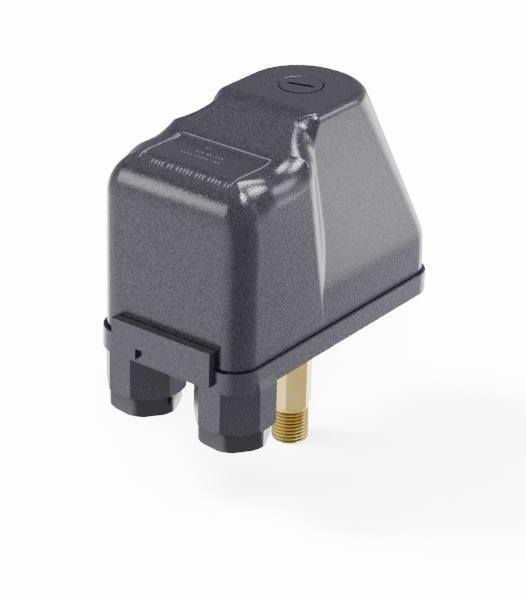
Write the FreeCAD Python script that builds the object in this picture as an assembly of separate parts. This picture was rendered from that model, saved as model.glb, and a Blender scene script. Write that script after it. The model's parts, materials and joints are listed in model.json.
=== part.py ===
"""Pressure switch for a water pump, in millimetres.

A black two-piece plastic case holds the switch.  Its lower half, the base housing, carries two cable
glands at the front.  Its upper half, the cover, has a low shelf over the terminals and a tapered tower
over the range spring.  Water pressure enters through a hexagonal fitting with a G1/4 thread, lifts a
rubber diaphragm and a piston, and tilts a steel lever against the range spring.  The lever turns a
rocker that opens the contacts.

Frame: +Z up along the fitting, +X to the right seen from the glands, +Y to the rear.  The origin is on
the fitting's axis, at the free end of its thread.
"""

import FreeCAD
import Part

import math
import os

V = FreeCAD.Vector
X_AXIS, Y_AXIS, Z_AXIS = V(1, 0, 0), V(0, 1, 0), V(0, 0, 1)

# ---------------------------------------------------------------- driving dimensions
# heights above the free end of the fitting
THREAD_LENGTH = 13.5
FLANGE_BOTTOM = 48.9
DIAPHRAGM_BOTTOM = 52.3
BASE_BOTTOM = 53.5
PARTING = 61.0
SHELF = 122.2
TOP = 132.2
TAPER_START = PARTING + 14.0

# plan of the base rim, measured from the fitting's axis
RIM_HALF_WIDTH = 31.0
RIM_FRONT = -70.0
RIM_REAR = 40.5
RIM_CORNER = 9.7
RIM_WALL = 4.6
FLOOR_THICKNESS = 2.5
FRAME_FLOOR = BASE_BOTTOM + FLOOR_THICKNESS

# cover
COVER_STEP = 1.3            # the rim stands this far outside the cover
COVER_WALL = 2.2
TOWER_HALF_WIDTH = 20.4     # at the top
TOWER_REAR = 20.8           # at the top
TOWER_TOP_RADIUS = 19.8
RIDGE_BOTTOM_Y = -24.3      # where the tower's flank starts, at the taper's foot
RIDGE_TOP_Y = -33.4         # the same edge at the shelf
FLANK_START_Y = -24.0       # the flank's own front edge
SHELF_REAR_Y = -39.5        # where the shelf turns up into the tower's front slope
PLATEAU_FRONT_Y = -20.0
FRONT_EDGE_RADIUS = 15.0
COVER_HEAD_RADIUS = 7.25    # cover screw's head

# pressure connection, G1/4
THREAD_RADIUS = 13.157 / 2
PORT_HEX_FLATS = 13.0
PORT_BORE = 2.5
FLANGE_RADIUS = 20.0
FLANGE_SCREW_CIRCLE = 16.4
PISTON_RADIUS = 11.6
FLOOR_HOLE_RADIUS = 12.2

# cable glands
GLAND_X = 18.6
GLAND_Y = -56.4
GLAND_FLATS = 27.2
GLAND_FACE = 8.8            # width of the octagon's faces along X and Y
GLAND_SHOULDER = BASE_BOTTOM + 0.4
GLAND_BODY_BOTTOM = PARTING - 22.8
GLAND_NUT_BOTTOM = PARTING - 30.0
GLAND_NUT_FLATS = 22.0
SPIGOT_RADIUS = 9.3
SPIGOT_BOTTOM = GLAND_NUT_BOTTOM + 2.6
CABLE_BORE = 5.75
SEAL_RADIUS = 7.9
SEAL_TOP = SPIGOT_BOTTOM + 10.4

# range spring, on the fitting's axis
STUD_RADIUS = 4.0
STUD_TOP = 117.0
LEVER_TOP = 74.0
LEVER_THICKNESS = 2.0
SEAT_THICKNESS = 1.5
RANGE_SPRING_RADIUS = 10.0
RANGE_WIRE = 2.6
RANGE_CUP_BOTTOM = 102.0
CUP_THICKNESS = 2.0
RANGE_NUT_HEIGHT = 6.0
CAP_BOTTOM = 113.6
CAP_TOP = 123.5

# differential spring
DIFF_Y = -19.0
DIFF_STUD_RADIUS = 2.5
DIFF_STUD_TOP = 100.0
DIFF_SPRING_RADIUS = 4.8
DIFF_WIRE = 1.3
DIFF_CUP_BOTTOM = 88.0
DIFF_NUT_HEIGHT = 4.0

# lever and its hinge pin
PIVOT_Y = 26.0
PIVOT_Z = 71.0
PIN_RADIUS = 2.0
LEVER_HALF_WIDTH = 15.0
LEVER_FRONT = -30.0
TONGUE_HALF_WIDTH = 7.0
FRAME_INNER = 18.5
FRAME_WALL = 1.5

# contact block and rocker
BLOCK_FRONT, BLOCK_REAR = -49.6, -31.5
BLOCK_HALF_WIDTH = 22.0
BLOCK_BOTTOM, BLOCK_TOP = 56.0, 72.0
ROCKER_Y, ROCKER_Z = -42.0, 82.0
TERMINAL_X = (-15.6, -5.2, 5.2, 15.6)
TERMINAL_SCREW_Y = -46.4
CONTACT_Y = -34.5
STRIP_THICKNESS = 1.2
CONTACT_HEIGHT = 0.8
TOUCH = BLOCK_TOP + STRIP_THICKNESS + CONTACT_HEIGHT    # where the contacts meet
ARM_DROP = 3.0              # underside of the rocker's arm below its pin
TOE_REAR = -27.4
EARTH_THICKNESS = 1.0
EARTH_SCREW_Y = -57.5

FIT = 0.08                  # radial clearance of turning and sliding pairs


# ---------------------------------------------------------------- shape helpers
def box(x0, x1, y0, y1, z0, z1):
    return Part.makeBox(x1 - x0, y1 - y0, z1 - z0, V(x0, y0, z0))


def cylinder(radius, z0, z1, x=0.0, y=0.0):
    return Part.makeCylinder(radius, z1 - z0, V(x, y, z0))


def cross_cylinder(radius, x0, x1, y, z):
    """A cylinder along X."""
    return Part.makeCylinder(radius, x1 - x0, V(x0, y, z), X_AXIS)


def tube(outer, inner, z0, z1, x=0.0, y=0.0):
    return cylinder(outer, z0, z1, x, y).cut(cylinder(inner, z0 - 1, z1 + 1, x, y))


def prism(points, z0, z1):
    """A straight prism on a closed outline of (x, y) points."""
    wire = Part.makePolygon([V(x, y, z0) for x, y in points + points[:1]])
    return Part.Face(wire).extrude(V(0, 0, z1 - z0))


def hexagon(flats, z0, z1, x=0.0, y=0.0, turn=0.0):
    corner = flats / math.sqrt(3)
    angles = [math.radians(turn + 60 * k) for k in range(6)]
    return prism([(x + corner * math.cos(a), y + corner * math.sin(a)) for a in angles], z0, z1)


def rounded_wire(half_width, front, rear, front_radius, rear_radius, z):
    """A rectangle in plan with rounded corners, as eight edges that start at the front left arc."""
    edges = []
    corners = [
        (-half_width + front_radius, front + front_radius, front_radius, 180),
        (half_width - front_radius, front + front_radius, front_radius, 270),
        (half_width - rear_radius, rear - rear_radius, rear_radius, 0),
        (-half_width + rear_radius, rear - rear_radius, rear_radius, 90),
    ]
    arcs = []
    for cx, cy, radius, start in corners:
        at = [math.radians(start + k) for k in (0, 45, 90)]
        arcs.append([V(cx + radius * math.cos(a), cy + radius * math.sin(a), z) for a in at])
    for k, arc in enumerate(arcs):
        following = arcs[(k + 1) % 4]
        edges.append(Part.Arc(*arc).toShape())
        edges.append(Part.LineSegment(arc[2], following[0]).toShape())
    return Part.Wire(edges)


def rounded_prism(half_width, front, rear, radius, z0, z1):
    wire = rounded_wire(half_width, front, rear, radius, radius, z0)
    return Part.Face(wire).extrude(V(0, 0, z1 - z0))


def yz_prism(points, half_width):
    """A prism along X on a closed outline of (y, z) points; (y, z, radius) rounds that corner."""
    edges = []
    count = len(points)
    ends = []
    for k, point in enumerate(points):
        here = V(0, point[0], point[1])
        before = V(0, *points[k - 1][:2])
        after = V(0, *points[(k + 1) % count][:2])
        if len(point) < 3:
            ends.append((here, here, None))
            continue
        to_before, to_after = (before - here).normalize(), (after - here).normalize()
        half_turn = to_before.getAngle(to_after) / 2
        reach = point[2] / math.tan(half_turn)
        middle_way = (to_before + to_after).normalize()
        centre = here + middle_way * (point[2] / math.sin(half_turn))
        ends.append((here + to_before * reach, here + to_after * reach, centre - middle_way * point[2]))
    for k, (start, end, middle) in enumerate(ends):
        if middle is not None:
            edges.append(Part.Arc(start, middle, end).toShape())
        following = ends[(k + 1) % count][0]
        edges.append(Part.LineSegment(end, following).toShape())
    face = Part.Face(Part.Wire(edges))
    face.translate(V(-half_width, 0, 0))
    return face.extrude(V(2 * half_width, 0, 0))


def coil(radius, wire, z0, z1, turns, x=0.0, y=0.0):
    """A round-wire compression spring between two planes."""
    height = z1 - z0 - wire
    path = Part.makeHelix(height / turns, height, radius)
    section = Part.Wire(Part.makeCircle(wire / 2, V(radius, 0, 0), Y_AXIS))
    spring = Part.Wire(path).makePipeShell([section], True, True)
    spring.translate(V(x, y, z0 + wire / 2))
    return spring


def fuse(*shapes):
    return shapes[0].multiFuse(list(shapes[1:])).removeSplitter()


def screw(x, y, z, head_radius, head_height, shank_radius, shank_length):
    """A pan-head screw that stands on z, with a slot across its head."""
    head = cylinder(head_radius, z, z + head_height, x, y)
    shank = cylinder(shank_radius, z - shank_length, z + head_height / 2, x, y)
    top = z + head_height
    slot = box(x - head_radius, x + head_radius, y - 0.4, y + 0.4, top - 0.45 * head_height, top + 1)
    return head.fuse(shank).cut(slot)


# ---------------------------------------------------------------- case
def octagon(x, z, inset=0.0):
    """The outline of a gland body at one height, drawn in on every side by inset."""
    half = GLAND_FLATS / 2 - inset
    face = GLAND_FACE / 2 - inset * math.tan(math.radians(22.5))
    corners = [(half, -face), (half, face), (face, half), (-face, half),
               (-half, face), (-half, -face), (-face, -half), (face, -half)]
    points = [V(x + px, GLAND_Y + py, z) for px, py in corners]
    return Part.makePolygon(points + points[:1])


def gland_body(x):
    """The octagonal boss under the base, with sloping shoulders, a turned foot and a threaded spigot."""
    height = GLAND_SHOULDER - GLAND_BODY_BOTTOM
    straight = Part.Face(octagon(x, GLAND_BODY_BOTTOM)).extrude(V(0, 0, height))
    outlines = [octagon(x, GLAND_SHOULDER), octagon(x, GLAND_SHOULDER + 3.5, 1.5)]
    shoulders = Part.makeLoft(outlines, True, True)
    rise = height + 3.5
    foot = Part.makeCone(13.1, 13.1 + rise, rise, V(x, GLAND_Y, GLAND_BODY_BOTTOM))
    spigot = cylinder(SPIGOT_RADIUS, SPIGOT_BOTTOM, GLAND_BODY_BOTTOM + 1, x, GLAND_Y)
    return straight.fuse(shoulders).common(foot).fuse(spigot)


def front_plate():
    """The flat guard across the front, with a notch between the glands and a stepped latch tab set in it."""
    plate = box(-20.2, 20.2, RIM_FRONT - 2.2, RIM_FRONT + 1.0, PARTING - 5.2, PARTING + 6.8)
    notch = box(-10.2, 10.2, RIM_FRONT - 3.0, RIM_FRONT - 0.2, PARTING - 6, PARTING - 1.3)
    guard = plate.cut(notch)
    for x0, x1, low in ((-8.4, -3.8, 5.3), (-3.8, 3.4, 6.1), (3.4, 10.2, 5.6)):
        guard = guard.fuse(box(x0, x1, RIM_FRONT - 1.1, RIM_FRONT + 1.0, PARTING - low, PARTING - 1.3))
    return guard


def base_housing():
    outer = rounded_prism(RIM_HALF_WIDTH, RIM_FRONT, RIM_REAR, RIM_CORNER, BASE_BOTTOM, PARTING)
    inset = RIM_WALL
    inner = rounded_prism(RIM_HALF_WIDTH - inset, RIM_FRONT + inset, RIM_REAR - inset,
                          RIM_CORNER - inset, BASE_BOTTOM + FLOOR_THICKNESS, PARTING + 1)
    body = fuse(outer, gland_body(-GLAND_X), gland_body(GLAND_X), front_plate()).cut(inner)
    body = body.cut(gasket_ring(PARTING - 2.0, PARTING + 1, 0.0))
    for x in (-GLAND_X, GLAND_X):
        body = body.cut(cylinder(SEAL_RADIUS + FIT, SPIGOT_BOTTOM - 1, SEAL_TOP, x, GLAND_Y))
        body = body.cut(cylinder(CABLE_BORE, SEAL_TOP - 1, PARTING, x, GLAND_Y))
    body = body.cut(cylinder(FLOOR_HOLE_RADIUS, BASE_BOTTOM - 1, PARTING))
    for x, y in flange_screw_places():
        body = body.cut(cylinder(2.2, BASE_BOTTOM - 1, PARTING, x, y))
    return body


def gasket_ring(z0, z1, ease):
    """The groove that runs round the rim under the cover's edge, and the gasket that lies in it."""
    outer, inner = COVER_STEP - 0.4 + ease, COVER_STEP + COVER_WALL + 0.3 - ease
    ring = rounded_prism(RIM_HALF_WIDTH - outer, RIM_FRONT + outer, RIM_REAR - outer,
                         RIM_CORNER - outer, z0, z1)
    return ring.cut(rounded_prism(RIM_HALF_WIDTH - inner, RIM_FRONT + inner, RIM_REAR - inner,
                                  RIM_CORNER - inner, z0 - 1, z1 + 1))


def cover_gasket():
    return gasket_ring(PARTING - 2.0, PARTING - 0.8, 0.15)


def cover_body(inset, bottom):
    """The cover's outer form, drawn in on every side by inset."""
    half = RIM_HALF_WIDTH - COVER_STEP - inset
    front, rear = RIM_FRONT + COVER_STEP + inset, RIM_REAR - COVER_STEP - inset
    corner = RIM_CORNER - COVER_STEP - inset
    top_half, top_rear, top = TOWER_HALF_WIDTH - inset, TOWER_REAR - inset, TOP - inset
    flank, ridge_low, ridge_high = (y + inset for y in (FLANK_START_Y, RIDGE_BOTTOM_Y, RIDGE_TOP_Y))
    skirt = rounded_prism(half, front, rear, corner, bottom, TAPER_START)

    # tower: straight flanks and a rear that grows rounder with height
    foot = rounded_wire(half, flank - 20, rear, 2.0, corner, TAPER_START)
    head = rounded_wire(top_half, flank - 20, top_rear, 2.0, TOWER_TOP_RADIUS - inset, TOP)
    tower = Part.makeLoft([foot, head], True, True)

    # terminal end: full width, with rear faces that lean from the ridge to the flank
    block = rounded_prism(half, front, 0, corner, bottom, TOP)
    height = TOP - TAPER_START
    high = ridge_low + (ridge_high - ridge_low) * height / (SHELF - TAPER_START)
    shoulder_low = [V(half + 1, ridge_low - 1, TAPER_START), V(half + 1, 1, TAPER_START),
                    V(half, 1, TAPER_START), V(half, ridge_low, TAPER_START)]
    shoulder_high = [V(half + 1, high - 1, TOP), V(half + 1, 1, TOP),
                     V(top_half, 1, TOP), V(top_half, flank, TOP)]
    outlines = [Part.makePolygon(points + points[:1]) for points in (shoulder_low, shoulder_high)]
    wedge = Part.makeLoft(outlines, True, True)
    block = block.cut(wedge).cut(wedge.mirror(V(0, 0, 0), X_AXIS)).cut(box(-60, 60, flank, 60, 0, TOP + 1))

    # side profile: front edge, shelf, slope and plateau
    low, shelf, back = bottom - 1, SHELF - inset, rear + 1
    profile = yz_prism([(front, low), (front, shelf - 1.0, FRONT_EDGE_RADIUS - inset),
                        (SHELF_REAR_Y + inset / 2, shelf, 8.0), (PLATEAU_FRONT_Y + inset / 2, top, 14.0),
                        (back, top), (back, low)], half + 1)
    return fuse(skirt, block, tower).common(profile)


def cover():
    """The cover's shell, with a boss under its top that the cover screw passes through."""
    bottom = PARTING - 0.8
    outer = cover_body(0.0, bottom)
    shell = outer.cut(cover_body(COVER_WALL, bottom - 1))
    shell = shell.fuse(cylinder(9.6, CAP_TOP + 1.5, TOP - 1))
    shell = shell.cut(cylinder(COVER_HEAD_RADIUS + 0.15, TOP - 2.6, TOP + 1))
    return shell.cut(cylinder(2.0 + FIT, PARTING, TOP + 1))


def cover_screw():
    head = cylinder(COVER_HEAD_RADIUS, TOP - 2.5, TOP - 0.2)
    shank = cylinder(2.0, CAP_BOTTOM + 4.5, TOP - 2.0)
    slot = box(-4.6, 4.6, -0.7, 0.7, TOP - 1.4, TOP + 1)
    slot.rotate(V(0, 0, 0), Z_AXIS, 15.6)
    return head.fuse(shank).cut(slot)


def screw_washer():
    """A thin sealing ring on the cover screw's shank, under the boss."""
    return tube(3.4, 2.0 + FIT, CAP_TOP + 0.1, CAP_TOP + 1.5)


# ---------------------------------------------------------------- pressure connection
def flange_screw_places():
    reach = FLANGE_SCREW_CIRCLE * math.sqrt(0.5)
    return [(sx * reach, sy * reach) for sx in (-1, 1) for sy in (-1, 1)]


def pressure_port():
    thread = cylinder(THREAD_RADIUS, 0, THREAD_LENGTH)
    body = hexagon(PORT_HEX_FLATS, THREAD_LENGTH, FLANGE_BOTTOM, turn=22)
    ends = Part.makeCone(6.9, 6.9 + FLANGE_BOTTOM, FLANGE_BOTTOM, V(0, 0, THREAD_LENGTH - 0.6))
    return thread.fuse(body.common(ends)).cut(cylinder(PORT_BORE, -1, FLANGE_BOTTOM + 1))


def diaphragm_flange():
    disc = cylinder(FLANGE_RADIUS, FLANGE_BOTTOM, DIAPHRAGM_BOTTOM)
    body = disc.cut(cylinder(11.0, DIAPHRAGM_BOTTOM - 1.8, BASE_BOTTOM)).cut(cylinder(PORT_BORE, 40, 60))
    for x, y in flange_screw_places():
        body = body.cut(cylinder(2.2, FLANGE_BOTTOM - 1, BASE_BOTTOM, x, y))
        body = body.cut(cylinder(3.3, FLANGE_BOTTOM - 1, FLANGE_BOTTOM + 1.8, x, y))
    return body


def diaphragm():
    """A rubber disc clamped between flange and base, with a shallow roll round its middle."""
    body = cylinder(FLANGE_RADIUS - 0.5, DIAPHRAGM_BOTTOM, BASE_BOTTOM)
    body = body.cut(Part.makeTorus(10.0, 0.7, V(0, 0, DIAPHRAGM_BOTTOM)))
    for x, y in flange_screw_places():
        body = body.cut(cylinder(2.2, BASE_BOTTOM - 2, BASE_BOTTOM + 1, x, y))
    return body


def flange_screws():
    """Four socket-head screws from below, sunk in the flange and threaded into the frame."""
    screws = []
    for x, y in flange_screw_places():
        head = cylinder(3.1, FLANGE_BOTTOM + 0.1, FLANGE_BOTTOM + 1.8, x, y)
        shank = cylinder(1.9, FLANGE_BOTTOM + 1, FRAME_FLOOR + FRAME_WALL + 1.5, x, y)
        screws.append(head.fuse(shank).cut(hexagon(2.9, FLANGE_BOTTOM - 1, FLANGE_BOTTOM + 1.1, x, y)))
    return Part.makeCompound(screws)


# ---------------------------------------------------------------- frame, studs and lever
def frame():
    """The stamped steel channel that carries the lever's pin and the stud's anchor bar."""
    side = FRAME_INNER + FRAME_WALL
    floor = box(-side, side, -23.5, 33.0, FRAME_FLOOR, FRAME_FLOOR + FRAME_WALL)
    body = floor.cut(cylinder(FLOOR_HOLE_RADIUS, FRAME_FLOOR - 1, FRAME_FLOOR + 3))
    for sign in (-1, 1):
        x0, x1 = sorted((sign * FRAME_INNER, sign * side))
        body = body.fuse(box(x0, x1, -8, 33, FRAME_FLOOR, 76))
    body = body.cut(cross_cylinder(PIN_RADIUS, -side - 1, side + 1, PIVOT_Y, PIVOT_Z))
    for x, y in flange_screw_places():
        body = body.cut(cylinder(1.9, FRAME_FLOOR - 1, FRAME_FLOOR + 4, x, y))
    body = body.cut(cylinder(DIFF_STUD_RADIUS, FRAME_FLOOR - 1, FRAME_FLOOR + 4, 0, DIFF_Y))
    return body.removeSplitter()


def anchor_bar():
    """The bar across the frame that the range stud is screwed into, with windows for the piston's lugs."""
    bar = box(-FRAME_INNER, FRAME_INNER, -6.5, 6.5, 63.5, 69.5).cut(cylinder(STUD_RADIUS, 60, 80))
    for x0 in (-9.9, 5.5):
        bar = bar.cut(box(x0, x0 + 4.4, -2.3, 2.3, 60, 80))
    return bar


def range_stud():
    return cylinder(STUD_RADIUS, 64, STUD_TOP)


def stud_cap():
    """A hexagonal spacer on the range stud that the cover screw enters from above."""
    body = hexagon(10.0, CAP_BOTTOM, CAP_TOP)
    body = body.cut(cylinder(STUD_RADIUS, CAP_BOTTOM - 1, STUD_TOP))
    return body.cut(cylinder(2.0 + FIT, STUD_TOP - 1, CAP_TOP + 1))


def differential_stud():
    return cylinder(DIFF_STUD_RADIUS, FRAME_FLOOR, DIFF_STUD_TOP, 0, DIFF_Y)


def hinge_pin():
    side = FRAME_INNER + FRAME_WALL
    return cross_cylinder(PIN_RADIUS, -side - 1.2, side + 1.2, PIVOT_Y, PIVOT_Z)


def pressure_lever():
    """The stamped plate that the piston lifts, hinged at the rear, with a tongue at the front."""
    low = LEVER_TOP - LEVER_THICKNESS
    plate = box(-LEVER_HALF_WIDTH, LEVER_HALF_WIDTH, -25, 31, low, LEVER_TOP)
    tongue = box(-TONGUE_HALF_WIDTH, TONGUE_HALF_WIDTH, LEVER_FRONT, -24, low, LEVER_TOP)
    body = plate.fuse(tongue)
    for sign in (-1, 1):
        x0, x1 = sorted((sign * (LEVER_HALF_WIDTH - 1.8), sign * LEVER_HALF_WIDTH))
        body = body.fuse(box(x0, x1, 19.5, 31, 67, LEVER_TOP))
        body = body.fuse(box(x0, x1, -22, 19.5, low, LEVER_TOP + 4))
    body = body.cut(cylinder(STUD_RADIUS + 1.0, low - 1, LEVER_TOP + 1))
    body = body.cut(cylinder(DIFF_STUD_RADIUS + 1.0, low - 1, LEVER_TOP + 1, 0, DIFF_Y))
    body = body.cut(cross_cylinder(PIN_RADIUS + 0.05, -30, 30, PIVOT_Y, PIVOT_Z))
    return body.removeSplitter()


def spring_seat():
    return tube(11.6, STUD_RADIUS + 1.0, LEVER_TOP, LEVER_TOP + SEAT_THICKNESS)


def piston():
    """The disc on the diaphragm, with two lugs that reach through the anchor bar to the lever."""
    disc = cylinder(PISTON_RADIUS, BASE_BOTTOM, 60.5)
    crest = LEVER_TOP - LEVER_THICKNESS - 1.9
    lugs = []
    for x0 in (-9.4, 6.0):
        lugs.append(box(x0, x0 + 3.4, -1.9, 1.9, 60, crest))
        lugs.append(cross_cylinder(1.9, x0, x0 + 3.4, 0, crest))
    return fuse(disc, *lugs)


# ---------------------------------------------------------------- springs, cups and nuts
def range_spring():
    return coil(RANGE_SPRING_RADIUS, RANGE_WIRE, LEVER_TOP + SEAT_THICKNESS, RANGE_CUP_BOTTOM, 5.5)


def range_cup():
    z0 = RANGE_CUP_BOTTOM
    dish = cylinder(12.2, z0, z0 + CUP_THICKNESS).fuse(cylinder(7.6, z0 - 2.5, z0 + 1))
    return dish.cut(cylinder(STUD_RADIUS + FIT, z0 - 5, z0 + 5))


def range_nut():
    z0 = RANGE_CUP_BOTTOM + CUP_THICKNESS
    body = hexagon(16.0, z0, z0 + RANGE_NUT_HEIGHT)
    crown = Part.makeCone(13.0, 8.2, 4.8, V(0, 0, z0 + RANGE_NUT_HEIGHT - 4.5))
    lower = cylinder(13.0, z0, z0 + RANGE_NUT_HEIGHT - 4.5)
    return body.common(lower.fuse(crown)).cut(cylinder(STUD_RADIUS + FIT, z0 - 1, z0 + 10))


def differential_spring():
    return coil(DIFF_SPRING_RADIUS, DIFF_WIRE, LEVER_TOP, DIFF_CUP_BOTTOM, 5.5, 0, DIFF_Y)


def differential_cup():
    z0 = DIFF_CUP_BOTTOM
    dish = cylinder(6.0, z0, z0 + 1.4, 0, DIFF_Y).fuse(cylinder(3.9, z0 - 1.6, z0 + 1, 0, DIFF_Y))
    return dish.cut(cylinder(DIFF_STUD_RADIUS + FIT, z0 - 5, z0 + 5, 0, DIFF_Y))


def differential_nut():
    z0 = DIFF_CUP_BOTTOM + 1.4
    body = hexagon(8.0, z0, z0 + DIFF_NUT_HEIGHT, 0, DIFF_Y)
    return body.cut(cylinder(DIFF_STUD_RADIUS + FIT, z0 - 1, z0 + 10, 0, DIFF_Y))


# ---------------------------------------------------------------- contacts
def contact_block():
    """The moulded block with four terminal lanes on top and two posts for the rocker's pin."""
    body = box(-BLOCK_HALF_WIDTH, BLOCK_HALF_WIDTH, BLOCK_FRONT, BLOCK_REAR, BLOCK_BOTTOM, BLOCK_TOP)
    body = body.cut(box(-8.5, 8.5, -60, -20, BLOCK_BOTTOM - 1, BLOCK_BOTTOM + EARTH_THICKNESS))
    ribs_x = (-20.8, -10.4, 0.0, 10.4, 20.8)
    for x in ribs_x:
        body = body.fuse(box(x - 0.7, x + 0.7, BLOCK_FRONT, -39, BLOCK_TOP - 1, BLOCK_TOP + 4))
    for sign in (-1, 1):
        x0, x1 = sorted((sign * 20.1, sign * 22.0))
        body = body.fuse(box(x0, x1, ROCKER_Y - 4, ROCKER_Y + 4, BLOCK_TOP - 1, ROCKER_Z + 4))
    body = body.cut(cross_cylinder(1.5, -30, 30, ROCKER_Y, ROCKER_Z))
    for x in TERMINAL_X:
        body = body.cut(cylinder(1.6, BLOCK_TOP - 9, BLOCK_TOP + 2, x, TERMINAL_SCREW_Y))
    return body.removeSplitter()


def contact_strip(x):
    """One terminal strip, from the wiring screw to its fixed contact."""
    top = BLOCK_TOP + STRIP_THICKNESS
    strip = box(x - 3.6, x + 3.6, BLOCK_FRONT + 0.4, BLOCK_REAR - 0.6, BLOCK_TOP, top)
    button = cylinder(2.2, top - 0.2, top + CONTACT_HEIGHT, x, CONTACT_Y)
    return strip.fuse(button).cut(cylinder(1.6, BLOCK_TOP - 1, top + 1, x, TERMINAL_SCREW_Y))


def fixed_contacts():
    return Part.makeCompound([contact_strip(x) for x in TERMINAL_X])


def terminal_clamps():
    """Square wire clamps under the terminal screws."""
    low = BLOCK_TOP + STRIP_THICKNESS
    plates = [box(x - 3.4, x + 3.4, TERMINAL_SCREW_Y - 2.9, TERMINAL_SCREW_Y + 2.9, low, low + 1.2)
              .cut(cylinder(1.6, low - 1, low + 3, x, TERMINAL_SCREW_Y)) for x in TERMINAL_X]
    return Part.makeCompound(plates)


def terminal_screws():
    low = BLOCK_TOP + STRIP_THICKNESS + 1.2
    return Part.makeCompound([screw(x, TERMINAL_SCREW_Y, low, 2.8, 2.0, 1.6, 9.0) for x in TERMINAL_X])


def rocker_pin():
    return cross_cylinder(1.5, -22.0, 22.0, ROCKER_Y, ROCKER_Z)


def contact_rocker():
    """The moulded lever over the contacts; a toe and a keeper grip the steel lever's tongue."""
    low, front = ROCKER_Z - ARM_DROP, TOE_REAR - 2.0
    hub = cross_cylinder(4.0, -19.6, 19.6, ROCKER_Y, ROCKER_Z)
    arm = box(-19.6, 19.6, ROCKER_Y, -31.2, low, ROCKER_Z)
    finger = box(-9.2, 9.2, -34, TOE_REAR, low, ROCKER_Z)
    toe = box(-5, 5, front, TOE_REAR, LEVER_TOP + 1, ROCKER_Z)
    crest = cross_cylinder(1.0, -5, 5, TOE_REAR - 1, LEVER_TOP + 1)
    keeper = box(-9.2, 9.2, front, TOE_REAR, 69.3, LEVER_TOP - LEVER_THICKNESS - 0.5)
    cheeks = [box(x0, x0 + 1.8, front, TOE_REAR, 69.3, ROCKER_Z) for x0 in (-9.2, 7.4)]
    body = fuse(hub, arm, finger, toe, crest, keeper, *cheeks)
    return body.cut(cross_cylinder(1.5 + FIT, -30, 30, ROCKER_Y, ROCKER_Z))


def moving_contacts():
    """Two spring-metal bridges under the rocker, each with two buttons and a stem."""
    bridges = []
    for sign in (-1, 1):
        x0, x1 = sorted((sign * 2.9, sign * 17.9))
        bridge = box(x0, x1, CONTACT_Y - 2.0, CONTACT_Y + 2.0, TOUCH + 0.8, TOUCH + 1.6)
        stem = cylinder(1.2, TOUCH + 1.4, ROCKER_Z - ARM_DROP, sign * 10.4, CONTACT_Y)
        buttons = [cylinder(1.9, TOUCH, TOUCH + 1.0, sign * x, CONTACT_Y) for x in (5.2, 15.6)]
        bridges.append(fuse(bridge, stem, *buttons))
    return Part.makeCompound(bridges)


def contact_springs():
    """A small spring round each stem presses its bridge onto the fixed contacts."""
    return Part.makeCompound([coil(1.9, 0.6, TOUCH + 1.6, ROCKER_Z - ARM_DROP, 2.5, x, CONTACT_Y)
                              for x in (-10.4, 10.4)])


# ---------------------------------------------------------------- earth terminals
def earth_plate():
    """The earth strip under the contact block, from the frame to two wiring screws at the front."""
    top = FRAME_FLOOR + EARTH_THICKNESS
    plate = box(-8.5, 8.5, -63.0, -23.5, FRAME_FLOOR, top)
    for x in (-4.6, 4.6):
        plate = plate.cut(cylinder(1.6, FRAME_FLOOR - 1, top + 1, x, EARTH_SCREW_Y))
    return plate


def earth_screws():
    top = FRAME_FLOOR + EARTH_THICKNESS
    pair = [screw(x, EARTH_SCREW_Y, top, 3.2, 2.0, 1.6, EARTH_THICKNESS) for x in (-4.6, 4.6)]
    return Part.makeCompound(pair)


# ---------------------------------------------------------------- glands
def gland_nut(x):
    turn = -4.8 if x > 0 else -7
    body = hexagon(GLAND_NUT_FLATS, GLAND_NUT_BOTTOM, GLAND_BODY_BOTTOM - 0.5, x, GLAND_Y, turn)
    foot = Part.makeCone(11.2, 21.2, 10, V(x, GLAND_Y, GLAND_NUT_BOTTOM))
    body = body.common(foot)
    body = body.cut(cylinder(SPIGOT_RADIUS + FIT, SPIGOT_BOTTOM - 0.1, PARTING, x, GLAND_Y))
    return body.cut(cylinder(CABLE_BORE, 0, PARTING, x, GLAND_Y))


def gland_washer(x):
    return tube(SEAL_RADIUS, CABLE_BORE, SPIGOT_BOTTOM - 0.1, SPIGOT_BOTTOM + 1.4, x, GLAND_Y)


def gland_seal(x):
    return tube(SEAL_RADIUS, CABLE_BORE, SPIGOT_BOTTOM + 1.4, SEAL_TOP, x, GLAND_Y)


# ---------------------------------------------------------------- the nodes
def nodes():
    parts = {
        "base_housing": base_housing(),
        "cover_gasket": cover_gasket(),
        "cover": cover(),
        "cover_screw": cover_screw(),
        "cover_screw_washer": screw_washer(),
        "pressure_port": pressure_port(),
        "diaphragm_flange": diaphragm_flange(),
        "diaphragm": diaphragm(),
        "flange_screws": flange_screws(),
        "piston": piston(),
        "frame": frame(),
        "anchor_bar": anchor_bar(),
        "range_stud": range_stud(),
        "stud_cap": stud_cap(),
        "hinge_pin": hinge_pin(),
        "pressure_lever": pressure_lever(),
        "spring_seat": spring_seat(),
        "range_spring": range_spring(),
        "range_cup": range_cup(),
        "range_nut": range_nut(),
        "differential_stud": differential_stud(),
        "differential_spring": differential_spring(),
        "differential_cup": differential_cup(),
        "differential_nut": differential_nut(),
        "contact_block": contact_block(),
        "fixed_contacts": fixed_contacts(),
        "terminal_clamps": terminal_clamps(),
        "terminal_screws": terminal_screws(),
        "rocker_pin": rocker_pin(),
        "contact_rocker": contact_rocker(),
        "moving_contacts": moving_contacts(),
        "contact_springs": contact_springs(),
        "earth_plate": earth_plate(),
        "earth_screws": earth_screws(),
    }
    for side, x in (("left", -GLAND_X), ("right", GLAND_X)):
        parts[f"gland_nut_{side}"] = gland_nut(x)
        parts[f"gland_washer_{side}"] = gland_washer(x)
        parts[f"gland_seal_{side}"] = gland_seal(x)
    return parts


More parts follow.
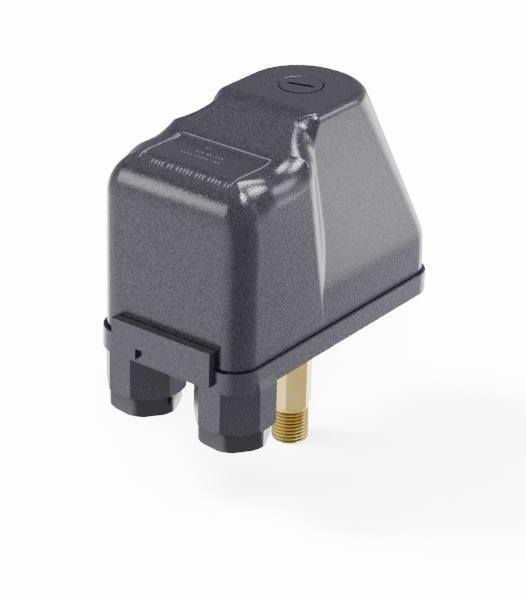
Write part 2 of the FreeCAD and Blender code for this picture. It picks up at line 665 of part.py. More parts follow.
os.makedirs("parts", exist_ok=True)
for name, shape in nodes().items():
    if not shape.isValid() or shape.Volume <= 0 or not shape.Solids:
        raise RuntimeError(f"{name} is not a closed solid")
    print(f"{name:22s} {len(shape.Solids)} solid(s) {shape.Volume:10.1f} mm3")
    shape.exportStep(f"parts/{name}.step")
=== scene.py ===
import json
import math

import bmesh
import bpy
import numpy as np
from mathutils import Matrix, Vector


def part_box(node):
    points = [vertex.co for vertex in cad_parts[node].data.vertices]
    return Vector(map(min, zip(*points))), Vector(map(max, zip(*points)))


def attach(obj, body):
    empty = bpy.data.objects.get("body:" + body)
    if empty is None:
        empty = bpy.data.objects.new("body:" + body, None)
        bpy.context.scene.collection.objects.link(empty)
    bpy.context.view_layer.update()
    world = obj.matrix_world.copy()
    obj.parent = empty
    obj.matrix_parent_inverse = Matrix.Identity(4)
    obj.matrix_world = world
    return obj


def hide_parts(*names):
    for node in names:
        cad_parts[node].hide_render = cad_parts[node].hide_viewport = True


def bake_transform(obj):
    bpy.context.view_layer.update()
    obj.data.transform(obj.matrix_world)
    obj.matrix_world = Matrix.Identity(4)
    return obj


# Pressure switch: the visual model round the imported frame.  Shapes are worked out in millimetres, and
# become metres where a mesh, a texture or a lamp is made.
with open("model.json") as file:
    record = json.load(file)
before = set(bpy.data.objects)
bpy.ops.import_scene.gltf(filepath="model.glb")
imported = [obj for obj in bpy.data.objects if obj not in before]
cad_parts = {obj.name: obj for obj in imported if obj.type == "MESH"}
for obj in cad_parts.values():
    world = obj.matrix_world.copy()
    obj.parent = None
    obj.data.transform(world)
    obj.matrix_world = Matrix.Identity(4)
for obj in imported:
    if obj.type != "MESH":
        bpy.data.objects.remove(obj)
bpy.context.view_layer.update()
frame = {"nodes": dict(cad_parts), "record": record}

MM = 0.001


# ------------------------------------------------------------------ shader helpers
def new_material(name):
    """A material with its node tree and its shader."""
    mat = bpy.data.materials.new(name)
    mat.use_nodes = True
    return mat, mat.node_tree, principled(mat)


def principled(mat):
    return next(n for n in mat.node_tree.nodes if n.type == "BSDF_PRINCIPLED")


def node(tree, kind, **values):
    """A new node, with each value given to the input of that name or else to the node's own property."""
    made = tree.nodes.new(kind)
    for key, value in values.items():
        if key in made.inputs:
            made.inputs[key].default_value = value
        else:
            setattr(made, key, value)
    return made


def noise(tree, coords, size_mm, detail=2.0, rough=0.5, stretch=None):
    """Noise fixed to the piece, with lumps of about size_mm, drawn out where stretch is less than 1."""
    source = coords.outputs["Object"]
    if stretch:
        mapping = node(tree, "ShaderNodeMapping", Scale=stretch)
        tree.links.new(source, mapping.inputs["Vector"])
        source = mapping.outputs["Vector"]
    made = node(tree, "ShaderNodeTexNoise", Scale=1.0 / (size_mm * MM), Detail=detail, Roughness=rough)
    tree.links.new(source, made.inputs["Vector"])
    return made.outputs["Fac"]


def ramp(tree, source, low, high, out_low, out_high):
    """Maps source's range low to high onto out_low to out_high."""
    made = node(tree, "ShaderNodeMapRange")
    made.inputs["From Min"].default_value = low
    made.inputs["From Max"].default_value = high
    made.inputs["To Min"].default_value = out_low
    made.inputs["To Max"].default_value = out_high
    tree.links.new(source, made.inputs["Value"])
    return made


def mix_colour(tree, factor, first, second):
    """Goes from first to second as factor goes from 0 to 1.  Each is a colour, or a socket that gives one."""
    made = node(tree, "ShaderNodeMix", data_type="RGBA")
    tree.links.new(factor, made.inputs["Factor"])
    # the node has sockets of every kind under the same names, so the colour pair is found by its kind
    pair = [socket for socket in made.inputs if socket.type == "RGBA"]
    for socket, value in zip(pair, (first, second)):
        if isinstance(value, tuple):
            socket.default_value = (*value, 1)
        else:
            tree.links.new(value, socket)
    return next(socket for socket in made.outputs if socket.type == "RGBA")


def bump(tree, bsdf, height, strength, depth_mm, under=None):
    """Relief of the given depth, on top of the relief under it."""
    made = node(tree, "ShaderNodeBump", Strength=strength, Distance=depth_mm * MM)
    tree.links.new(height, made.inputs["Height"])
    if under:
        tree.links.new(under.outputs["Normal"], made.inputs["Normal"])
    tree.links.new(made.outputs["Normal"], bsdf.inputs["Normal"])
    return made


# ------------------------------------------------------------------ materials
def grained_plastic(name, dark, light, rough_low, rough_high, grain_mm=0.6, depth_mm=0.10,
                    strength=0.5, spread=0.2):
    """Moulded plastic with a spark-eroded grain: fine pits over a faint, slow unevenness."""
    mat, tree, bsdf = new_material(name)
    coords = node(tree, "ShaderNodeTexCoord")
    grain = noise(tree, coords, grain_mm, 3.0, 0.6)
    tint = ramp(tree, grain, 0.35, 0.7, 0.0, 1.0)
    tree.links.new(mix_colour(tree, tint.outputs["Result"], dark, light), bsdf.inputs["Base Color"])
    rough = ramp(tree, grain, 0.3, 0.7, rough_low, rough_high)
    tree.links.new(rough.outputs["Result"], bsdf.inputs["Roughness"])
    slow = bump(tree, bsdf, noise(tree, coords, 9.0), 0.15, 0.15)
    bump(tree, bsdf, grain, strength, depth_mm, slow)
    # single grains catch more light than their neighbours
    fine_grain = noise(tree, coords, grain_mm / 1.7, 2.0, 0.6)
    spark = ramp(tree, fine_grain, 0.34, 0.66, 0.5 - spread, 0.5 + spread)
    tree.links.new(spark.outputs["Result"], bsdf.inputs["Specular IOR Level"])
    return mat


def metal(name, first, second, rough_low, rough_high):
    """Plated or bare metal: slow patches of two colours under fine tool marks that run round the piece."""
    mat, tree, bsdf = new_material(name)
    coords = node(tree, "ShaderNodeTexCoord")
    patch = ramp(tree, noise(tree, coords, 6.0, 3.0, 0.6), 0.35, 0.65, 0.0, 1.0)
    tree.links.new(mix_colour(tree, patch.outputs["Result"], first, second), bsdf.inputs["Base Color"])
    marks = noise(tree, coords, 3.0, 3.0, 0.6, stretch=(1, 1, 12))
    rough = ramp(tree, marks, 0.3, 0.7, rough_low, rough_high)
    tree.links.new(rough.outputs["Result"], bsdf.inputs["Roughness"])
    bsdf.inputs["Metallic"].default_value = 1.0
    bump(tree, bsdf, marks, 0.25, 0.02)
    return mat


def threaded_zinc(name, first, second, groove, root_mm, crest_mm):
    """Yellow zinc on a piece about the z axis, with painted shade in the thread's grooves: the groove colour
    at the root radius, going over to the plating at the crest radius.
    """
    mat = metal(name, first, second, 0.20, 0.34)
    tree, bsdf = mat.node_tree, principled(mat)
    plated = bsdf.inputs["Base Color"].links[0].from_socket
    coords = node(tree, "ShaderNodeTexCoord")
    flat = node(tree, "ShaderNodeVectorMath", operation="MULTIPLY")
    flat.inputs[1].default_value = (1, 1, 0)
    tree.links.new(coords.outputs["Object"], flat.inputs[0])
    radius = node(tree, "ShaderNodeVectorMath", operation="LENGTH")
    tree.links.new(flat.outputs["Vector"], radius.inputs[0])
    # painted shade: the thread is darkened from its crest radius down to its root radius
    painted_groove_shade = ramp(tree, radius.outputs["Value"], root_mm * MM, crest_mm * MM, 0.0, 1.0)
    tree.links.new(mix_colour(tree, painted_groove_shade.outputs["Result"], groove, plated), bsdf.inputs["Base Color"])
    return mat


MATERIALS = {
    "cover": grained_plastic("cover_plastic", (0.002, 0.002, 0.003), (0.034, 0.031, 0.040), 0.14, 0.22,
                             strength=0.6, spread=0.26),
    "base": grained_plastic("base_plastic", (0.010, 0.010, 0.012), (0.042, 0.039, 0.048), 0.20, 0.30,
                            depth_mm=0.05, spread=0.14),
    # painted highlight: the label's strokes and rib are painted lighter than the cover, for the light their
    # slopes catch
    "painted_highlight_mark": grained_plastic("label_marks_painted_highlight", (0.08, 0.08, 0.085), (0.22, 0.22, 0.23), 0.2, 0.3),
    "nut": grained_plastic("nut_plastic", (0.008, 0.008, 0.009), (0.014, 0.014, 0.015), 0.14, 0.22,
                           grain_mm=0.5, depth_mm=0.02, spread=0.1),
    "rubber": grained_plastic("seal_rubber", (0.012, 0.012, 0.012), (0.03, 0.03, 0.03), 0.6, 0.8,
                              grain_mm=0.3, depth_mm=0.03),
    # the port's thread grooves get a dark brown painted shade
    "yellow_zinc": threaded_zinc("yellow_zinc", (0.78, 0.53, 0.13), (0.70, 0.64, 0.22),
                                 groove=(0.10, 0.045, 0.015), root_mm=5.75, crest_mm=6.35),
    "steel": metal("bright_zinc", (0.55, 0.57, 0.60), (0.68, 0.69, 0.70), 0.22, 0.40),
    "spring": metal("spring_wire", (0.20, 0.20, 0.22), (0.34, 0.33, 0.33), 0.25, 0.42),
    "brass": metal("brass", (0.72, 0.50, 0.20), (0.80, 0.62, 0.30), 0.2, 0.35),
    "block": grained_plastic("contact_block_plastic", (0.42, 0.38, 0.30), (0.52, 0.48, 0.40), 0.45, 0.6,
                             depth_mm=0.02),
    "rocker": grained_plastic("rocker_plastic", (0.05, 0.05, 0.06), (0.09, 0.09, 0.10), 0.4, 0.6,
                              grain_mm=0.5, depth_mm=0.02),
    "piston": grained_plastic("piston_plastic", (0.55, 0.55, 0.52), (0.68, 0.68, 0.65), 0.4, 0.55,
                              depth_mm=0.02),
}

# the look of each material slot in the record; the cover and its screw have a look of their own
SLOT_LOOK = {
    "case_black": "base", "gland_black": "nut", "seal_rubber": "rubber", "yellow_zinc": "yellow_zinc",
    "bright_zinc": "steel", "spring_steel": "spring", "brass": "brass", "contact_plastic": "block",
    "rocker_plastic": "rocker", "piston_plastic": "piston",
}

slot_of = {s["node"]: s["material_slot"] for s in frame["record"]["subparts"]}
for name, obj in frame["nodes"].items():
    look = "cover" if name in ("cover", "cover_screw") else SLOT_LOOK[slot_of[name]]
    for material_slot in obj.material_slots:
        material_slot.material = MATERIALS[look]

# CAD pieces that stay visible get a worked edge, by its width in millimetres
EDGES = {
    0.12: ("fixed_contacts", "moving_contacts"),
    0.15: ("terminal_clamps", "earth_plate", "differential_cup", "spring_seat", "flange_screws"),
    0.20: ("frame", "pressure_lever", "terminal_screws", "earth_screws", "rocker_pin", "cover_screw"),
    0.25: ("base_housing", "stud_cap", "range_cup", "hinge_pin"),
    0.30: ("contact_block", "contact_rocker", "anchor_bar"),
    0.40: ("piston", "diaphragm_flange"),
}
# an edge is worked where its faces meet at more than this
WORKED_ABOVE = math.radians(38)
for width, names in EDGES.items():
    for name in names:
        bevel = frame["nodes"][name].modifiers.new("worked_edge", "BEVEL")
        bevel.width = width * MM
        bevel.segments = 2
        bevel.limit_method = "ANGLE"
        bevel.angle_limit = WORKED_ABOVE
        bevel.harden_normals = False


# ------------------------------------------------------------------ mesh helpers
def box_mm(name):
    """A node's lowest and highest corners, in millimetres."""
    low, high = (np.array(corner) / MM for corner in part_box(name))
    return low, high


def add_object(name, vertices, faces, look, body, replaced, sharp=None):
    """Makes a piece from vertices in millimetres and hands it to its body, or to none if it is to bend.

    Edges that turn by more than sharp degrees stay crisp."""
    mesh = bpy.data.meshes.new(name)
    mesh.from_pydata([tuple(v) for v in np.asarray(vertices, float) * MM], [], [tuple(f) for f in faces])
    mesh.validate()
    work = bmesh.new()
    work.from_mesh(mesh)
    bmesh.ops.recalc_face_normals(work, faces=work.faces)
    for face in work.faces:
        face.smooth = True
    if sharp:
        for edge in work.edges:
            if len(edge.link_faces) == 2 and edge.calc_face_angle(0.0) > math.radians(sharp):
                edge.smooth = False
    work.to_mesh(mesh)
    work.free()
    mesh.materials.append(MATERIALS[look])
    obj = bpy.data.objects.new(name, mesh)
    bpy.context.scene.collection.objects.link(obj)
    if body:
        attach(obj, body)
    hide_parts(*replaced)
    return obj


def smoothstep(value, low, high):
    """Goes softly from 0 to 1 as value goes from low to high."""
    t = np.clip((value - low) / (high - low), 0, 1)
    return t * t * (3 - 2 * t)


# Solids are distance fields here: negative inside, in millimetres from the surface.
def round_cut(a, b, r):
    """What two fields share, with a fillet of radius r along their edge."""
    return np.minimum(-r, np.maximum(a, b)) + np.hypot(np.maximum(a + r, 0), np.maximum(b + r, 0))


def round_join(a, b, r):
    """Two fields together, with a concave fillet of radius r."""
    return np.maximum(r, np.minimum(a, b)) - np.hypot(np.maximum(r - a, 0), np.maximum(r - b, 0))


def soft_cut(a, b, width):
    """What two fields with nearly parallel surfaces share, blended over about width."""
    h = np.maximum(width - np.abs(a - b), 0)
    return np.maximum(a, b) + h * h / (4 * width)


def soft_join(a, b, width):
    """Two fields together, with nearly parallel surfaces blended over about width."""
    return -soft_cut(-a, -b, width)


def plan_rectangle(x, y, half, front, rear, front_radius, rear_radius):
    """A rectangle in plan with round corners: half wide to each side, from front to rear along y."""
    middle = (front + rear) / 2
    r = np.where(y > middle, rear_radius, front_radius)
    qx = np.abs(x) - half + r
    qy = np.abs(y - middle) - (rear - front) / 2 + r
    return np.minimum(np.maximum(qx, qy), 0) + np.hypot(np.maximum(qx, 0), np.maximum(qy, 0)) - r


def slope_of(field, points, reach):
    """The field's slope at points, from values at a distance of reach to each side."""
    return np.stack([(field(*(points + d).T) - field(*(points - d).T)) / (2 * reach)
                     for d in np.eye(3) * reach], 1)


def surface_net(field, xs, ys, zs, rounds=5):
    """A closed quad mesh of field = 0 on a rectilinear grid, its vertices drawn onto the surface."""
    grid = field(xs[:, None, None], ys[None, :, None], zs[None, None, :])
    inside = grid < 0
    # one vertex in each cell that has corners on both sides
    shape = tuple(n - 1 for n in inside.shape)
    count = np.zeros(shape, int)
    for i in (0, 1):
        for j in (0, 1):
            for k in (0, 1):
                count += inside[i:i + shape[0], j:j + shape[1], k:k + shape[2]]
    mixed = (count > 0) & (count < 8)
    index = np.full(shape, -1)
    index[mixed] = np.arange(mixed.sum())
    cells = np.nonzero(mixed)
    points = np.stack([((a[1:] + a[:-1]) / 2)[c] for a, c in zip((xs, ys, zs), cells)], 1)
    # a vertex slides along the field's slope, but hardly leaves its cell
    reach = np.stack([np.diff(a)[c] for a, c in zip((xs, ys, zs), cells)], 1) * 0.75
    start = points.copy()
    for _ in range(rounds):
        slope = slope_of(field, points, 0.02)
        points = points - (field(*points.T) / np.maximum((slope ** 2).sum(1), 0.2))[:, None] * slope
        points = np.clip(points, start - reach, start + reach)
    # one quad round each grid edge that crosses the surface
    quads = []
    for axis in range(3):
        u, v = [a for a in range(3) if a != axis]
        low = [slice(None)] * 3
        high = [slice(None)] * 3
        low[axis], high[axis] = slice(0, -1), slice(1, None)
        at = np.nonzero(inside[tuple(low)] != inside[tuple(high)])
        keep = (at[u] > 0) & (at[v] > 0) & (at[u] < shape[u]) & (at[v] < shape[v])
        at = [k[keep] for k in at]
        ring = []
        for du, dv in ((-1, -1), (0, -1), (0, 0), (-1, 0)):
            cell = list(at)
            cell[u] = at[u] + du
            cell[v] = at[v] + dv
            ring.append(index[tuple(cell)])
        quads.append(np.stack(ring, 1))
    return points, np.concatenate(quads)


def grid_line(*spans):
    """Grid positions from (start, end, step) spans that follow each other."""
    parts = [np.arange(start, end - 1e-6, (end - start) / round((end - start) / step))
             for start, end, step in spans]
    return np.concatenate(parts + [[spans[-1][1]]])


# ------------------------------------------------------------------ the cover
MARK_RISE = 0.25
WALL = 2.2

cover_low, cover_high = box_mm("cover")
HALF, FRONT, REAR = cover_high[0], cover_low[1], cover_high[1]
RIM, TOP = cover_low[2], cover_high[2] - MARK_RISE

# the walls' upright part ends at TAPER, and the shelf over the terminals is lower than the top
TAPER = TOP - 57.05
SHELF = TOP - 9.85
WALL_CORNER = 8.6
TOWER_HALF, TOWER_REAR = 20.4, 20.8
TOWER_FRONT_CORNER = 6.0
TOWER_REAR_CORNER, TOWER_REAR_CORNER_GROWTH = 8.4, 11.4
# the walls' field runs on behind the tower and the tower's in front of it, so that each shapes its own end
WALLS_RUN_ON, TOWER_FRONT = 40.0, -60.0
# the terminal end closes in on the tower with a leaning facet each side, which meets the wall at FACET_START
FACET_SLOPE, FACET_START = (0.70, 0.70, 0.136), -22.4
# the climb from the shelf reaches the plateau here
PLATEAU_EDGE = -20.5
CLIMB_SLOPE = math.radians(27.6)
SCREW_HOLE = 7.6


def cover_outer(x, y, z):
    """The outside of the cover."""
    # t is the share of the taper's height, and a slow start keeps the turn from wall to taper soft
    t = (z - TAPER) / (TOP - TAPER)
    t = (t + np.sqrt(t * t + 0.0025)) / 2
    tower_half = HALF - (HALF - TOWER_HALF) * t
    walls = plan_rectangle(x, y, HALF, FRONT, REAR + WALLS_RUN_ON, WALL_CORNER, WALL_CORNER)
    rear_corner = TOWER_REAR_CORNER + TOWER_REAR_CORNER_GROWTH * np.clip(t, 0, 1)
    tower_rear = REAR - (REAR - TOWER_REAR) * t
    # 0.97 makes up for the lean of the tower's walls
    tower = plan_rectangle(x, y, tower_half, TOWER_FRONT, tower_rear, TOWER_FRONT_CORNER, rear_corner) * 0.97
    facet = (FACET_SLOPE[0] * (np.abs(x) - HALF) + FACET_SLOPE[1] * (y - FACET_START)
             + FACET_SLOPE[2] * (z - TAPER))
    crease = np.clip(0.6 * (HALF - tower_half), 0.01, 1.8)
    side = round_join(round_cut(walls, facet, 3.0), tower, crease)
    # the shelf dips towards the front and crowns a little across
    shelf = z - SHELF - 0.3 * smoothstep(-y, 40, 70) + 0.012 * (x / 10) ** 2
    climb = (z - TOP) * math.cos(CLIMB_SLOPE) - (y - PLATEAU_EDGE) * math.sin(CLIMB_SLOPE)
    roof = soft_join(shelf, soft_cut(z - TOP, climb, 2.4), 3.0)
    # the roof's edge is rounder on the climb and roundest at the front
    edge = 2.8 + 5.8 * smoothstep(-y, 17, 24) + 5.6 * smoothstep(-y, 50, 62)
    return round_cut(side, roof, edge)


def cover_shell(x, y, z):
    """The cover as a wall, open at the rim and holed for the screw."""
    outer = cover_outer(x, y, z)
    screw_hole = np.where(z > TOP - 12, SCREW_HOLE - np.hypot(x, y), -9.0)
    return np.maximum(np.maximum(outer, -(outer + WALL)), np.maximum(RIM - z, screw_hole))


# the shallow field that holds the label's strokes
LABEL_HALF, LABEL_REAR, LABEL_DEPTH = 18.0, -40.0, 0.42
ROOF_BAND = 95.0


def label_depth(x, y):
    """How far the label's field is sunk: a crisp rear and side edge, and open to the front."""
    across = np.abs(x) < LABEL_HALF + 0.01
    along = smoothstep(LABEL_REAR + 0.01 - y, 0, 0.02) * (1 - smoothstep(-y, 60.5, 63.5))
    return LABEL_DEPTH * across * along


def both_sides(value, margin=0.15):
    return value - margin, value + margin


# grid lines stand close to each side of the label's edges, and rows are closer over the taper and the roof
TAPER_ROWS, ROOF_ROWS = 76.0, 104.0
side_edge, rear_edge = both_sides(LABEL_HALF), both_sides(LABEL_REAR)
half_line = grid_line((0.15, side_edge[0], 0.59), (*side_edge, 0.3), (side_edge[1], HALF + 1.2, 0.59))
grid_xs = np.concatenate([-half_line[::-1], half_line])
grid_ys = grid_line((FRONT - 1.2, -62.3, 0.5), (-62.3, rear_edge[0], 0.59), (*rear_edge, 0.3),
                    (rear_edge[1], REAR + 1.2, 0.62))
grid_zs = grid_line((RIM - 0.6, TAPER_ROWS, 1.3), (TAPER_ROWS, ROOF_ROWS, 1.1), (ROOF_ROWS, TOP + 1.0, 0.52))
points, quads = surface_net(cover_shell, grid_xs, grid_ys, grid_zs)
points[:, 2] = np.maximum(points[:, 2], RIM)

# the outside is shaded by the form itself, and its crisp edges are left to the mesh
px, py, pz = points.T
depth = cover_outer(px, py, pz)
lean = slope_of(cover_outer, points, 0.1)
lean /= np.linalg.norm(lean, axis=1)[:, None]
crisp = (np.abs(depth) > 0.08) | (pz < RIM + 0.5) | (np.abs(np.hypot(px, py) - SCREW_HOLE) < 0.9)
at_label = (py < LABEL_REAR + 1) & (np.abs(px) < LABEL_HALF + 1) & (pz > ROOF_BAND)
crisp |= at_label & ((np.abs(np.abs(px) - LABEL_HALF) < 0.7) | (py > LABEL_REAR - 0.7))
lean[crisp] = 0
points[:, 2] -= label_depth(px, py) * (pz > ROOF_BAND) * (depth > -0.4)
cover = add_object("cover_shell", points, quads, "cover", "cover", ["cover"])
cover.data.normals_split_custom_set_from_vertices([tuple(v) for v in lean])


def roof_height(x, y):
    """The height of the cover's roof over a point, found by halving."""
    low, high = ROOF_BAND, TOP + 1
    for _ in range(30):
        middle = (low + high) / 2
        if cover_outer(x, y, middle) < 0:
            low = middle
        else:
            high = middle
    return low - label_depth(x, y)


def raised_bars(name, bars, rise, look):
    """Plain moulded bars, each (x, y, direction in degrees, length, width), standing on the roof."""
    sunk = -0.25
    vertices, faces = [], []
    for centre_x, centre_y, turn, length, width in bars:
        cosine, sine = math.cos(math.radians(turn)), math.sin(math.radians(turn))
        steps = max(2, int(length / 0.8) + 1)
        base = len(vertices)
        for k in range(steps + 1):
            along = (k / steps - 0.5) * length
            # the bar narrows and dips into the roof at both ends
            at_end = k in (0, steps)
            reach = width / 2 * (0.35 if at_end else 1.0)
            for side, lift in ((-1, sunk), (-0.62, rise), (0.62, rise), (1, sunk)):
                across = side * reach
                x, y = centre_x + along * cosine - across * sine, centre_y + along * sine + across * cosine
                vertices.append((x, y, roof_height(x, y) + (sunk if at_end else lift)))
        for k in range(steps):
            a, b = base + 4 * k, base + 4 * k + 4
            faces += [(a + i, a + (i + 1) % 4, b + (i + 1) % 4, b + i) for i in range(4)]
        end = base + 4 * steps
        faces += [(base, base + 3, base + 2, base + 1), (end, end + 1, end + 2, end + 3)]
    return add_object(name, vertices, faces, look, "cover", ["cover"], sharp=50)


# eight short marks round the cover screw
MARK_RADIUS, MARK_STEP, MARK_START = 12.8, 45, -9
mark_angles = [math.radians(MARK_STEP * k + MARK_START) for k in range(8)]
raised_bars("cover_marks", [(MARK_RADIUS * math.cos(a), MARK_RADIUS * math.sin(a), 90, 3.6, 0.8)
                            for a in mark_angles], MARK_RISE, "cover")

# the label's rows are groups of plain strokes: y, first x, strokes in each group, pitch, length, width
ROWS = (
    (-42.8, -5.0, (2,), 1.3, 1.2, 0.6),
    (-46.8, -6.0, (3, 2, 3), 1.2, 1.2, 0.55),
    (-50.2, -9.5, (4, 5, 3), 1.2, 1.2, 0.55),
    (-60.3, -13.0, (4, 2, 5, 3, 4, 2), 1.35, 2.3, 0.75),
)
GROUP_GAP = 0.7
strokes = []
for row_y, row_x, groups, pitch, length, width in ROWS:
    for group in groups:
        strokes += [(row_x + k * pitch, row_y, 90, length, width) for k in range(group)]
        row_x += (group + GROUP_GAP) * pitch
# painted highlight: the strokes are painted lighter than the cover
raised_bars("label_strokes", strokes, 0.3, "painted_highlight_mark")

# a thin rib runs round the label's field
RIB_WIDTH = 0.45
rib_x, rib_y = LABEL_HALF + 0.3, LABEL_REAR + 0.4
# painted highlight: the rib is painted lighter than the cover
raised_bars("label_rib", [(0, rib_y, 0, 36.8, RIB_WIDTH), (rib_x, -50.5, 90, 21, RIB_WIDTH),
                          (-rib_x, -50.5, 90, 21, RIB_WIDTH)], 0.14, "painted_highlight_mark")


# ------------------------------------------------------------------ turned and hexagonal pieces
def ring_stack(name, levels, bore, centre, look, body, replaced, around, sharp):
    """A hollow piece about a vertical axis.

    levels lists (z, radius) from the bottom up, where a radius is a number or a function of the angle."""
    theta = np.arange(around) * 2 * math.pi / around
    rings = [(z, np.broadcast_to(radius(theta) if callable(radius) else radius, theta.shape))
             for z, radius in levels]
    low, high = rings[0][0], rings[-1][0]
    lead_in = 0.5
    rings += [(high, np.full(around, bore + lead_in)), (high - lead_in, np.full(around, bore)),
              (low + lead_in, np.full(around, bore)), (low, np.full(around, bore + lead_in))]
    vertices = [(centre[0] + r * math.cos(a), centre[1] + r * math.sin(a), z)
                for z, radii in rings for r, a in zip(radii, theta)]
    faces = []
    for i in range(len(rings)):
        here, above = i * around, (i + 1) % len(rings) * around
        faces += [(here + k, here + (k + 1) % around, above + (k + 1) % around, above + k)
                  for k in range(around)]
    return add_object(name, vertices, faces, look, body, replaced, sharp)


def hexagon(flats, turn, corner):
    """Radius of a hexagon over the angle, its corners taken back by corner."""
    def radius(theta):
        local = (theta - math.radians(turn) + math.pi / 6) % (math.pi / 3) - math.pi / 6
        flat = flats / 2 / np.cos(local)
        near_corner = np.clip((np.abs(local) - math.radians(25)) / math.radians(5), 0, 1)
        return flat - corner * near_corner ** 2
    return radius


def chamfered(shape, limit):
    """A shape turned down to a round of radius limit where it stands out further."""
    return lambda theta: np.minimum(shape(theta), limit)


# the port: a G1/4 thread, whose first turn rises out of a chamfer and whose last one fades, under a hexagon
PITCH = 1.337
THREAD_CREST, THREAD_DEPTH, THREAD_TOP = 6.55, 0.80, 13.5
PORT_BORE, PORT_FLATS, PORT_TURN = 2.5, 13.0, 22.0


def thread_ring(z):
    """Radius over the angle at height z above the thread's end."""
    fade = min(1.0, max(0.0, (THREAD_TOP - 0.5 - z) / 1.3))

    def radius(theta):
        # a flat crest and root with sloping flanks, once round for each pitch
        phase = (z / PITCH - theta / (2 * math.pi)) % 1.0
        groove = THREAD_DEPTH * fade * np.clip(np.abs(phase - 0.5) * 2.6 - 0.15, 0, 1)
        return THREAD_CREST - groove - 0.25 * (1 - fade)
    return chamfered(radius, 5.75 + z * 1.1)


port_low, port_high = box_mm("pressure_port")
shoulder = port_low[2] + THREAD_TOP
port_hexagon = hexagon(PORT_FLATS, PORT_TURN, 0.25)
levels = [(port_low[2] + z, thread_ring(z)) for z in np.arange(0, THREAD_TOP - 0.01, PITCH / 12)]
# a short neck, and then the hexagon through its turned chamfer up to the case
levels += [(shoulder, 5.9), (shoulder + 0.05, 6.1)]
levels += [(shoulder + rise, chamfered(port_hexagon, limit))
           for rise, limit in ((0.05, 6.35), (0.35, 6.75), (0.75, 7.2), (1.1, 9.0))]
levels.append((port_high[2], port_hexagon))
ring_stack("pressure_port_body", levels, PORT_BORE, (0, 0), "yellow_zinc", "housing",
           ["pressure_port"], around=180, sharp=28)

# the gland nuts, each screwed up to its own angle: a chamfered foot, and a small step back at the top
NUT_FLATS, NUT_BORE = 22.0, 5.75
for side, turn in (("left", 23.0), ("right", 25.2)):
    nut = "gland_nut_" + side
    low, high = box_mm(nut)
    shape = hexagon(NUT_FLATS, turn, 0.5)
    levels = [(low[2] + rise, chamfered(shape, limit))
              for rise, limit in ((0.0, 11.5), (0.3, 11.95), (0.8, 12.5), (1.2, 13.0))]
    levels += [(high[2] - 0.5, shape), (high[2] - 0.15, lambda a: shape(a) - 0.2),
               (high[2], lambda a: shape(a) - 0.5)]
    ring_stack(nut + "_body", levels, NUT_BORE, (low + high)[:2] / 2, "nut", nut, [nut],
               around=144, sharp=30)


# ------------------------------------------------------------------ springs
def coil(name, replaced, wire, turns, start, end):
    """The stretch of a node's helix from start to end, two shares of its height."""
    low, high = box_mm(replaced)
    centre = (low + high) / 2
    radius = (high[0] - low[0] - wire) / 2
    # the tube keeps a hair's breadth inside the wire's box
    tube = wire * 0.49
    steps, around = int(turns * (end - start) * 40), 12
    vertices = []
    for k in range(steps + 1):
        share = start + (end - start) * k / steps
        angle = 2 * math.pi * turns * share
        height = low[2] + wire / 2 + (high[2] - low[2] - wire) * share
        for j in range(around):
            lean = 2 * math.pi * j / around
            reach = radius + tube * math.cos(lean)
            vertices.append((centre[0] + reach * math.cos(angle), centre[1] + reach * math.sin(angle),
                             height + tube * math.sin(lean)))
    faces = [(k * around + j, k * around + (j + 1) % around, (k + 1) * around + (j + 1) % around,
              (k + 1) * around + j) for k in range(steps) for j in range(around)]
    faces += [tuple(range(around)), tuple(steps * around + j for j in range(around))]
    return add_object(name, vertices, faces, "spring", None, [replaced], sharp=50)


def spring(name, wire, turns):
    """A coil between the lever and a cup, in two halves that meet where neither end moves it."""
    lower = coil(name + "_lower", name, wire, turns, 0.0, 0.5)
    upper = coil(name + "_upper", name, wire, turns, 0.5, 1.0)
    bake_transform(lower)
    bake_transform(upper)


spring("range_spring", 2.6, 5.5)
spring("differential_spring", 1.3, 5.5)


# ------------------------------------------------------------------ soft light all round
def soft_light(tree, direction, inner, outer, strength):
    """A round soft light, far away towards direction, that fades from inner to outer degrees."""
    coords = node(tree, "ShaderNodeTexCoord")
    facing = node(tree, "ShaderNodeVectorMath", operation="DOT_PRODUCT")
    tree.links.new(coords.outputs["Generated"], facing.inputs[0])
    facing.inputs[1].default_value = Vector(direction).normalized()
    rim, core = math.cos(math.radians(outer)), math.cos(math.radians(inner))
    fade = ramp(tree, facing.outputs["Value"], rim, core, 0, strength)
    fade.interpolation_type = "SMOOTHSTEP"
    return fade.outputs["Result"]


# direction, inner and outer angle, strength; a negative one is a black flag that takes light away
STUDIO = (
    ((0.10, 0.94, -0.33), 6, 26, 5.5),
    ((0.70, 0.71, -0.07), 6, 25, 1.4),
    ((0.54, 0.70, 0.42), 3, 14, 8.0),
    ((-0.17, 0.48, 0.86), 4, 11, 30.0),
    ((0.34, 0.22, 0.91), 5, 12, 50.0),
    ((-0.84, 0.30, -0.44), 5, 24, 4.0),
    ((-0.54, -0.75, -0.44), 10, 60, 1.6),
    ((-0.54, 0.72, 0.44), 12, 45, -0.55),
    ((-0.54, 0.05, 0.84), 8, 26, 0.3),
)
AMBIENT, BACKDROP = 0.95, 16.0

world = bpy.data.worlds.new("studio")
world.use_nodes = True
bpy.context.scene.world = world
sky = world.node_tree
total = node(sky, "ShaderNodeValue")
total.outputs[0].default_value = AMBIENT
for direction, inner, outer, strength in STUDIO:
    add = node(sky, "ShaderNodeMath", operation="ADD")
    sky.links.new(total.outputs[0], add.inputs[0])
    sky.links.new(soft_light(sky, direction, inner, outer, strength), add.inputs[1])
    total = add
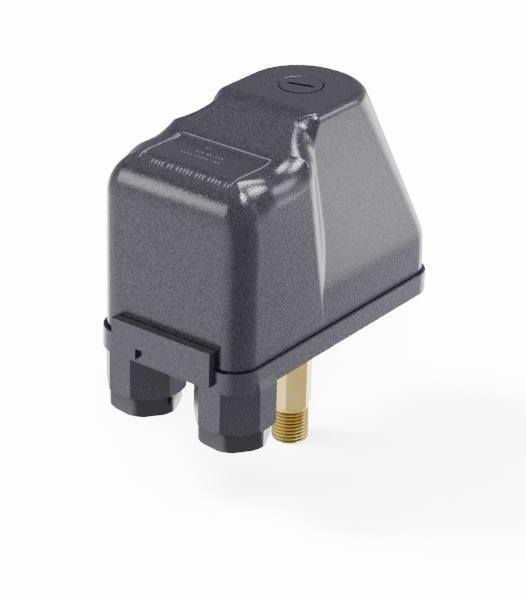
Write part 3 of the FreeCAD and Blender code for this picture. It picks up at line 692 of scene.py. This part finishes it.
# behind the object the studio is plain white
path = node(sky, "ShaderNodeLightPath")
seen = node(sky, "ShaderNodeMix", data_type="FLOAT")
sky.links.new(path.outputs["Is Camera Ray"], seen.inputs[0])
sky.links.new(total.outputs[0], seen.inputs[2])
seen.inputs[3].default_value = BACKDROP
sky.links.new(seen.outputs[0], sky.nodes["Background"].inputs["Strength"])
sky.nodes["Background"].inputs["Color"].default_value = (1.0, 0.975, 1.04, 1)


# ------------------------------------------------------------------ lamps
def add_lamp(name, kind, toward):
    """A lamp that shines along toward."""
    lamp = bpy.data.objects.new(name, bpy.data.lights.new(name, kind))
    lamp.rotation_euler = Vector(toward).to_track_quat("-Z", "Y").to_euler()
    bpy.context.scene.collection.objects.link(lamp)
    return lamp


def soft_box(name, place_mm, target_mm, radius_mm, radiance):
    """A round lamp near the object, so that its reflection fades along a flat face."""
    place, target, radius = Vector(place_mm) * MM, Vector(target_mm) * MM, radius_mm * MM
    lamp = add_lamp(name, "AREA", target - place)
    lamp.location = place
    lamp.visible_camera = False
    lamp.data.shape = "DISK"
    lamp.data.size = 2 * radius
    lamp.data.energy = radiance * math.pi ** 2 * radius ** 2


soft_box("front_left", (-185, -262, 250), (-28, -66, 120), 65, 8.0)
soft_box("rear_right", (295, 325, 5), (27, 20, 95), 60, 3.4)

# ------------------------------------------------------------------ floor
FLOOR_HALF, FLOOR_DROP = 6.0, 0.0002
floor_mesh = bpy.data.meshes.new("floor")
floor_mesh.from_pydata([(FLOOR_HALF * x, FLOOR_HALF * y, -FLOOR_DROP)
                        for x, y in ((-1, -1), (1, -1), (1, 1), (-1, 1))], [], [(0, 1, 2, 3)])
floor_mat, _, floor_bsdf = new_material("floor_paper")
floor_bsdf.inputs["Base Color"].default_value = (0.93, 0.93, 0.93, 1)
floor_bsdf.inputs["Roughness"].default_value = 1.0
floor_bsdf.inputs["Specular IOR Level"].default_value = 0.0
floor_mesh.materials.append(floor_mat)
floor = bpy.data.objects.new("floor", floor_mesh)
bpy.context.scene.collection.objects.link(floor)

# the paper is lit on its own and not reflected, so that it stays white under a black object
floor.visible_glossy = False
floor.visible_diffuse = False
floor_only = bpy.data.collections.new("floor_only")
floor_only.objects.link(floor)
for name, direction, angle, power in (("paper_overhead", (0.1, -0.6, 0.8), 60, 14.0),
                                      ("paper_left", (-0.60, -0.42, 0.68), 22, 26.0),
                                      ("paper_right", (0.55, -0.66, 0.52), 22, 26.0)):
    lamp = add_lamp(name, "SUN", -Vector(direction))
    lamp.data.energy = power
    lamp.data.angle = math.radians(angle)
    lamp.light_linking.receiver_collection = floor_only

# ------------------------------------------------------------------ camera
# it stands to the front right and looks down, and the picture's middle is a little off the lens's axis
AZIMUTH, ELEVATION, ROLL = (math.radians(angle) for angle in (37.047, 26.363, 1.391))
AIM, DISTANCE = Vector((-0.076, -25.504, 61.948)), 827.552
LENS, SHIFT_X, SHIFT_Y = 149.08722, 0.02391, 0.0039433

back = Vector((math.sin(AZIMUTH) * math.cos(ELEVATION), -math.cos(AZIMUTH) * math.cos(ELEVATION),
               math.sin(ELEVATION)))
level = Vector((math.cos(AZIMUTH), math.sin(AZIMUTH), 0))
upright = back.cross(level)
right = level * math.cos(ROLL) + upright * math.sin(ROLL)
up = upright * math.cos(ROLL) - level * math.sin(ROLL)
place = Matrix((right, up, back)).transposed().to_4x4()
place.translation = (AIM + back * DISTANCE) * MM

camera_data = bpy.data.cameras.new("camera")
camera_data.sensor_width = 36.0
camera_data.sensor_fit = "AUTO"
camera_data.lens = LENS
camera_data.shift_x = SHIFT_X
camera_data.shift_y = SHIFT_Y
camera_data.clip_start = 0.01
camera = bpy.data.objects.new("camera", camera_data)
camera.matrix_world = place
bpy.context.scene.collection.objects.link(camera)
bpy.context.scene.camera = camera
